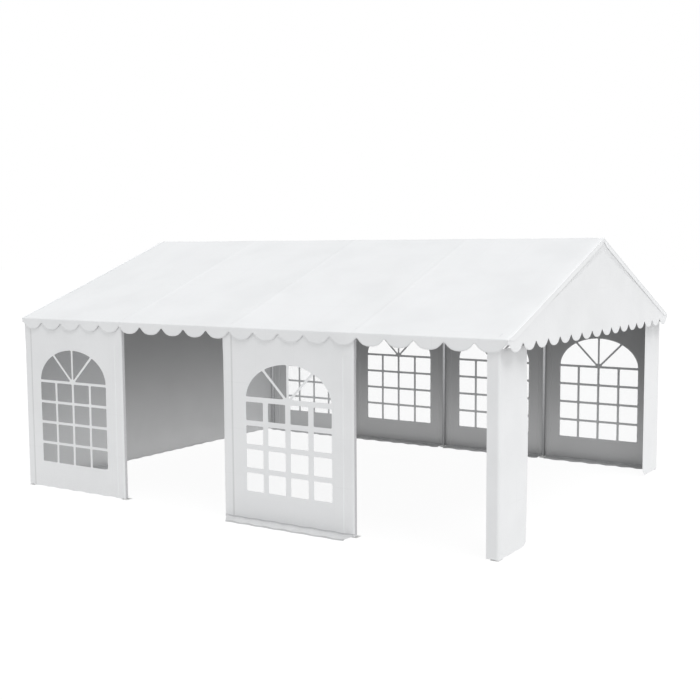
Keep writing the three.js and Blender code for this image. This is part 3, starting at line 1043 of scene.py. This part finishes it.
def fan_pane(left_bar, right_bar):
    """One pane of the fan, between two bars given as (angle, half width) from the right."""
    dense = arch(WINDOW_HALF, ARCH_TOP - TRANSOM, 0.0, math.pi, 1441)

    def over(points, bar, side):
        angle, half = bar
        return side * (points[:, 1] * math.cos(angle) - points[:, 0] * math.sin(angle)) - half

    keep = dense[(over(dense, right_bar, 1) > 0) & (over(dense, left_bar, -1) > 0)]
    rim = keep[np.linspace(0, len(keep) - 1, 10).astype(int)]
    (right, right_half), (left, left_half) = right_bar, left_bar
    sides = [[-math.sin(right), math.cos(right)], [math.sin(left), -math.cos(left)]]
    root = np.linalg.solve(sides, [right_half, left_half])
    return rounded([root, *rim], PANE_CORNER)


def window_panes(middle, bars):
    """All the cut-outs of a window whose middle is at that place along the wall."""
    panes = []
    upright, level, fan = bars
    width = (2 * WINDOW_HALF - 3 * upright) / 4
    height = (TRANSOM - level / 2 - WINDOW_FOOT - 3 * level) / 4
    for column in range(4):
        for row in range(4):
            u = middle - WINDOW_HALF + column * (width + upright)
            v = WINDOW_FOOT + row * (height + level)
            corners = [(u, v), (u + width, v), (u + width, v + height), (u, v + height)]
            panes.append(rounded(corners, PANE_CORNER))
    rays = [(i * math.pi / 4, (fan if 0 < i < 4 else level) / 2) for i in range(5)]
    panes += [fan_pane(left, right) + (middle, TRANSOM) for right, left in zip(rays, rays[1:])]
    return panes


def window_outline(middle, grow):
    """The film behind a window, larger all round."""
    top = arch(WINDOW_HALF + grow, ARCH_TOP - TRANSOM + grow, 0.0, math.pi, 25) + (middle, TRANSOM)
    foot = WINDOW_FOOT - grow
    return [(middle - WINDOW_HALF - grow, foot), (middle + WINDOW_HALF + grow, foot), *top]


print(len(window_panes(0.0, SLIM_BARS)), "panes in a window")

# %% [markdown]
# ## The two front panels
# One panel fills the first bay and one the third, and the other two bays are doorways. Each panel is folded
# back round its doorway posts, and a seam near each post joins the middle panel to the strip that wraps the
# post. The darker band on the left seam is painted shadow of the step there, and the grey of the turned edges
# is painted shade on the return. The third bay's flap lies out on the ground over the foot plates. The first
# bay's is turned inside.

# %% The two front panels
WALL_Y = -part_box("wall_front_3")[0][1]
WALL_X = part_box("corner_wall_near")[1][0]
WALL_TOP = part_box("wall_front_3")[1][2]
HEM = 0.003  # a straight hem hangs this far over the ground, clear of the foot plates
RETURN = 0.055
TURNED_EDGE = 0.045  # how much of a folded edge takes the grey tape finish: painted shade on the return
OVER = 0.004  # one sheet over another at a corner
ROW = 0.048  # from one row of points to the next
FILM_LAP = 0.02  # the film is welded on this far past the window

lines_v = np.concatenate([
    [-FLAP, FLAP_HEM - FLAP, -0.12, -0.08, -0.04], np.linspace(FLAP_END, FLAP_BEND, 7),
    [FOLD_SHADE_LINE - FOLD_SHADE_LINE_HALF, FOLD_SHADE_LINE + FOLD_SHADE_LINE_HALF],
    np.arange(0.07, WALL_TOP - 0.02, ROW), [WALL_TOP],
])
# The grey tape and the fourth finish are painted shade on the returns, seam and flap fold, and painted light
# on a flap turned inside.
wall_finishes = [cloth_outside, cloth_inside, painted_shade_tape, flap_and_painted_light_cloth]


def panel_outline(end, flap_from, flap_to, cut_left=0.03, cut_right=0.03):
    """A panel's cut: its hem, its flap with slanting ends, and its top."""
    return [(0, HEM), (flap_from, HEM), (flap_from + cut_left, -FLAP), (flap_to - cut_right, -FLAP),
            (flap_to, HEM), (end, HEM), (end, WALL_TOP), (0, WALL_TOP)]


def wall_with_window(name, number, corners, middle, seams, flap_ends, held, flap, seed, over=0.0,
                     cuts=(0.03, 0.03), low=0.006, bars=SLIM_BARS, turned=None):
    """A wall panel with its film, which replace their nodes.

    Its plan line goes through the corners. The middle of the window, the seams, the flap's ends and the posts
    that hold the panel are given by their x, and turned is how much of each end is a folded edge."""
    line = plan_line(corners)
    width = line[0][-1]
    middle, *places = [length_at(line, x, corners[1][1]) for x in (middle, *seams, *flap_ends, *held)]
    seams, flap_ends, held = places[:2], places[2:4], places[4:]
    edges = turned and (turned[0], width - turned[1])
    sway = panel_sway(seed, WALL_TOP, held, seams, low=low, over=over)
    near_seams = [s + d for s in seams for d in (-SEAM_HALF, -0.003, 0.0, 0.003, SEAM_HALF)]
    wall, cut = hung_sheet(
        f"{name}_panel", line, panel_outline(width, *flap_ends, *cuts), window_panes(middle, bars),
        wall_finishes, lines_v, sway, flap=flap, extra_u=[*near_seams, *(edges or ())], seam=seams[0],
        edges=edges)
    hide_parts(f"wall_{number}")
    film_v = np.arange(WINDOW_FOOT - FILM_LAP, ARCH_TOP + 0.03, ROW)
    film, film_cut = hung_sheet(
        f"{name}_film", line, window_outline(middle, FILM_LAP), [], [film_finish], film_v, sway,
        behind=CLOTH_THICKNESS + 0.0005, thickness=0.0006)
    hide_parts(f"window_{number}")
    print(wall.name, round(width, 3), "by", round(WALL_TOP + FLAP, 3), "m, cut", round(cut, 3), "m2")


def folded(low_x, high_x):
    """The corners of a front panel whose two ends are turned back."""
    return [(low_x, -WALL_Y + RETURN), (low_x, -WALL_Y), (high_x, -WALL_Y), (high_x, -WALL_Y + RETURN)]


from_3, to_3 = (corner[0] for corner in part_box("wall_front_3"))
wall_with_window(
    "third_bay", "front_3", folded(from_3, to_3), 1.0, (0.07, 1.866),
    (from_3 + POST_WRAP, to_3 - POST_WRAP), held=(0.0, 2.0), flap=1, seed=31,
    cuts=(0.15, 0.02), bars=WIDE_BARS, turned=(TURNED_EDGE, TURNED_EDGE))
wall_with_window(
    "first_bay", "front_1", folded(-WALL_X - OVER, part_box("wall_front_1")[1][0]), -3.0, (-3.89, -2.113),
    (-3.93, -2.062), held=(-4.0, -2.0), flap=-1, seed=11, low=0.009, turned=(0.0, TURNED_EDGE))

# %% [markdown]
# ## The back wall
# Four panels of the same cut close the back. At each middle post one panel laps over the next. Their flaps
# are turned inside and ruffle along their free edge. The lapped edges are straight.

# %% The back wall
LAP = 0.04

for bay in range(1, 5):
    right, left = FRAME_X[bay], FRAME_X[bay - 1]
    from_x = right + LAP if bay < 4 else right - 0.03
    to_x = left - LAP if bay > 1 else left + 0.03
    wall_with_window(
        f"back_bay_{bay}", f"back_{bay}", [(from_x, WALL_Y), (to_x, WALL_Y)], (left + right) / 2,
        (right - 0.12, left + 0.12), (right - 0.032, left + 0.032), held=(right, left), flap=-1,
        seed=50 + bay, over=OVER if bay % 2 else 0.0)

# %% [markdown]
# ## The closed end
# The far end is closed by one plain wall, six metres wide, with no window. It turns round the back corner
# post and laps over the back wall, and at the front corner it goes behind the first panel's folded edge. It
# hangs under the gable from the end frame. It has a straight hem, and only a short flap behind the first bay.

# %% The closed end
FLAP_FROM = -1.4  # the y where the end wall's flap starts; it ends at the front post

line_end = plan_line([
    (-WALL_X + 0.11, WALL_Y + OVER), (-WALL_X, WALL_Y + OVER), (-WALL_X, -WALL_Y + POST_WRAP + 0.002)])
*flap_ends, at_back, at_front = [
    length_at(line_end, -WALL_X, y) for y in (FLAP_FROM, -POST_Y + 0.07, POST_Y, -POST_Y)]
end_width = line_end[0][-1]
end_wall, cut = hung_sheet(
    "end_wall", line_end, panel_outline(end_width, *flap_ends), [],
    [cloth_outside, end_inside, painted_shade_tape, flap_and_painted_light_cloth], lines_v,
    panel_sway(77, WALL_TOP, [at_back, at_front], low=0.010, high=0.006), flap=-1)
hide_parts("end_wall_left")
print("end wall", round(end_width, 3), "m wide, cut", round(cut, 3), "m2")

# %% [markdown]
# ## The two corner strips
# The open end keeps a narrow strip of wall at each corner. The near one is one sheet that goes round the
# corner post from the long side to the gable side. Its free edge is not held by anything, so it bows a
# little, and its bottom corner is cut off on the slant. On the gable side its top hangs below the notches.

# %% The two corner strips
NOTCH_GAP = 0.12  # from the top of the wall down to the near strip's lowered top
BOW = 0.02


def strip_sway(free_at, bow, seed):
    """A strip's outward move: its free edge bows, and the rest waves gently."""
    turn = np.random.default_rng(seed).uniform(0, 6.28)

    def sway(u, v):
        free = soft_step(u, free_at[0], free_at[1])
        wave = 0.5 + 0.5 * np.sin(2.1 * v + turn)
        return free * (bow * wave * (1 - 0.6 * soft_step(v, 1.2, WALL_TOP)))

    return sway


def corner_strip(name, line, sway, outline, nodes):
    """A corner strip, which replaces its nodes."""
    strip, cut = hung_sheet(name, line, outline, [], [cloth_outside, cloth_inside], lines_v, sway)
    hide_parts(*nodes)
    print(name, round(line[0][-1], 3), "by", round(WALL_TOP, 3), "m, cut", round(cut, 3), "m2")


near_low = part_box("corner_wall_front")[0]
near_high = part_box("corner_wall_near")[1]
line_near = plan_line([(near_low[0], -WALL_Y), (WALL_X, -WALL_Y), (WALL_X, near_high[1])])
end = line_near[0][-1]
corner_at = length_at(line_near, WALL_X, -POST_Y)
corner_strip(
    "near_corner_strip", line_near, strip_sway((corner_at + 0.2, end), BOW, 5),
    [(0, HEM), (end - 0.06, HEM), (end, 0.05), (end - 0.03, WALL_TOP - NOTCH_GAP),
     (corner_at, WALL_TOP - NOTCH_GAP), (corner_at - 0.05, WALL_TOP), (0, WALL_TOP)],
    ["corner_wall_front", "corner_wall_near"])

far_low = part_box("corner_wall_far")[0]
line_far = plan_line([(WALL_X, far_low[1]), (WALL_X, WALL_Y + OVER), (WALL_X - 0.13, WALL_Y + OVER)])
end = line_far[0][-1]
corner_strip(
    "far_corner_strip", line_far, strip_sway((end, end + 1), 0.0, 6),
    [(0, 0.085), (0.11, HEM), (end, HEM), (end, WALL_TOP), (0, WALL_TOP)],
    ["corner_wall_far"])

# %% [markdown]
# ## Bolts
# Each socket is pinned to its tube by a hexagon bolt with a washer. There are many and all alike, so a tree
# puts one on each point and turns it to face the way that the point says.

# %% Bolts
bolt_tree, start, end = new_tree("bolt_on_each_point", {"Head": 0.0085, "Height": 0.006, "Washer": 0.0115})
head = joined(bolt_tree, add_node(bolt_tree, "GeometryNodeMeshCylinder"), Vertices=6,
              Radius=start.outputs["Head"], Depth=start.outputs["Height"])
washer = joined(bolt_tree, add_node(bolt_tree, "GeometryNodeMeshCylinder"), Vertices=16,
                Radius=start.outputs["Washer"], Depth=0.0016)
lifted = joined(bolt_tree, add_node(bolt_tree, "GeometryNodeTransform"), Geometry=head,
                Translation=(0, 0, 0.003))
both = add_node(bolt_tree, "GeometryNodeJoinGeometry")
for part in (washer, lifted):
    joined(bolt_tree, both, Geometry=part)
aim = add_node(bolt_tree, "FunctionNodeAlignRotationToVector", axis="Z")
placed = joined(bolt_tree, add_node(bolt_tree, "GeometryNodeInstanceOnPoints"),
                Points=start.outputs["Points"], Instance=both.outputs[0],
                Rotation=joined(bolt_tree, aim, Vector=facing_direction(bolt_tree)))
finished(bolt_tree, placed, start, end)

SOCKET = 0.029  # from a tube's middle to its socket's face
PIN = 0.08  # from a frame's corner along a tube to its bolt
eave_z, ridge_z = middle_of("front_eave_rail")[2], middle_of("ridge_rail")[2]
spots, outs = [], []
for x in FRAME_X:
    ways = [d for d in (-1, 1) if abs(x + d) < FRAME_X[-1]]
    for side in (-1, 1):
        spots.append((x, side * (POST_Y - SOCKET), eave_z - 0.075))
        outs.append((0, -side, 0))
        run = np.array([0, -side * math.cos(SLOPE), math.sin(SLOPE)])
        for foot, way in (((x, side * POST_Y, eave_z), 1), ((x, 0, ridge_z), -1)):
            spots.append(np.array(foot) + way * PIN * run + (SOCKET, 0, 0))
            outs.append((1, 0, 0))
        for d in ways:
            spots.append((x + d * PIN, side * POST_Y, eave_z - SOCKET))
            outs.append((0, 0, -1))
    for d in ways:
        spots.append((x + d * PIN, 0, ridge_z - SOCKET))
        outs.append((0, 0, -1))
bolts = made_by("socket_bolts", bolt_tree, spots, [], outs, bolt_finish)
print(len(spots), "bolts,", len(bolts.data.polygons), "faces")
